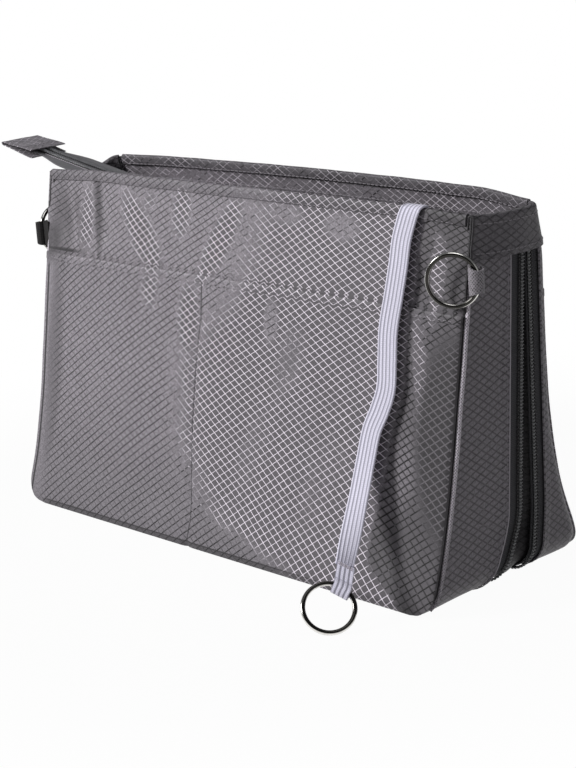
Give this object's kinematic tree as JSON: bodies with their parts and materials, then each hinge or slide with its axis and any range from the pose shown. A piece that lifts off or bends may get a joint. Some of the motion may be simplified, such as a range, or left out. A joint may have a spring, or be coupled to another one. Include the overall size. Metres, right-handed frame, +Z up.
{
  "type": "purse organizer insert",
  "caption": "Soft ripstop organizer insert for a handbag, with flared walls, pockets, an open top zip, an open expansion zip round ends and base, metal rings and an elastic strap.",
  "frame": {"origin": "middle of the base, on the surface that the insert stands on", "axes": "+X along the length, away from the end where the zip tail leaves; +Y from the front wall to the rear wall; +Z up"},
  "size_m": [0.3161, 0.1401, 0.1681],
  "materials": {
    "ripstop": "satin ripstop weave",
    "ripstop_dark": "satin ripstop weave in shade",
    "zip_tape": "matte woven tape",
    "zip_nylon": "satin moulded coil",
    "webbing": "matte woven tape",
    "elastic": "matte ribbed elastic",
    "nickel": "satin plated",
    "black_metal": "satin black",
    "board": "matte"
  },
  "bodies": {
    "insert": {"front_panel": "ripstop", "rear_panel": "ripstop", "front_pocket": "ripstop", "rear_pocket": "ripstop", "front_rim_binding": "ripstop", "rear_rim_binding": "ripstop", "front_gusset": "ripstop", "rear_gusset": "ripstop", "expansion_gusset": "ripstop_dark", "front_seam_binding": "webbing", "rear_seam_binding": "webbing", "expansion_tape_front": "zip_tape", "expansion_tape_rear": "zip_tape", "expansion_coil_front": "zip_nylon", "expansion_coil_rear": "zip_nylon", "expansion_stop_front_right": "zip_nylon", "expansion_stop_front_left": "zip_nylon", "expansion_stop_rear_right": "zip_nylon", "expansion_stop_rear_left": "zip_nylon", "right_end_band": "ripstop", "left_end_band": "ripstop", "front_inner_pocket": "ripstop_dark", "rear_inner_pocket": "ripstop_dark", "base_board": "board", "top_tape_front": "zip_tape", "top_tape_rear": "zip_tape", "top_coil_front": "zip_nylon", "top_coil_rear": "zip_nylon", "top_stop_front": "nickel", "top_stop_rear": "nickel", "front_zip_flap": "ripstop", "rear_zip_flap": "ripstop", "tail_tab": "ripstop", "right_loop": "ripstop", "left_loop": "webbing", "elastic_strap": "elastic", "strap_anchor": "webbing", "strap_end_loop": "elastic"},
    "top_slider": {"top_slider": "nickel"},
    "top_pull": {"top_pull": "nickel"},
    "expansion_slider": {"expansion_slider": "black_metal"},
    "expansion_pull": {"expansion_pull": "black_metal"},
    "right_ring": {"right_ring": "nickel"},
    "left_ring": {"left_ring": "nickel"},
    "strap_ring": {"strap_ring": "nickel"}
  },
  "joints": [
    {"name": "right_ring_swing", "type": "hinge", "parent": "insert", "child": "right_ring", "pos_m": [0.13523, -0.02222, 0.1343], "axis": [0, 0, 1], "range_deg": [0, 225]},
    {"name": "left_ring_swing", "type": "hinge", "parent": "insert", "child": "left_ring", "pos_m": [-0.13795, -0.02106, 0.1276], "axis": [0, 0, 1], "range_deg": [-6, 214]},
    {"name": "strap_ring_swing", "type": "hinge", "parent": "insert", "child": "strap_ring", "pos_m": [0.10035, -0.07212, 0.01457], "axis": [-0.806, -0.3969, 0.4391], "range_deg": [0, 120]},
    {"name": "top_slider_slide", "type": "slide", "parent": "insert", "child": "top_slider", "axis": [-0.9837, 0, 0.1797], "range_m": [0, 0.062]},
    {"name": "top_pull_hinge", "type": "hinge", "parent": "top_slider", "child": "top_pull", "pos_m": [-0.07432, 0, 0.15204], "axis": [0, -1, 0], "range_deg": [0, 170]},
    {"name": "expansion_slider_slide", "type": "slide", "parent": "insert", "child": "expansion_slider", "axis": [0, 0, -1], "range_m": [0, 0.088]},
    {"name": "expansion_pull_hinge", "type": "hinge", "parent": "expansion_slider", "child": "expansion_pull", "pos_m": [-0.1353, 0.0145, 0.13], "axis": [0, 1, 0], "range_deg": [0, 165]}
  ]
}
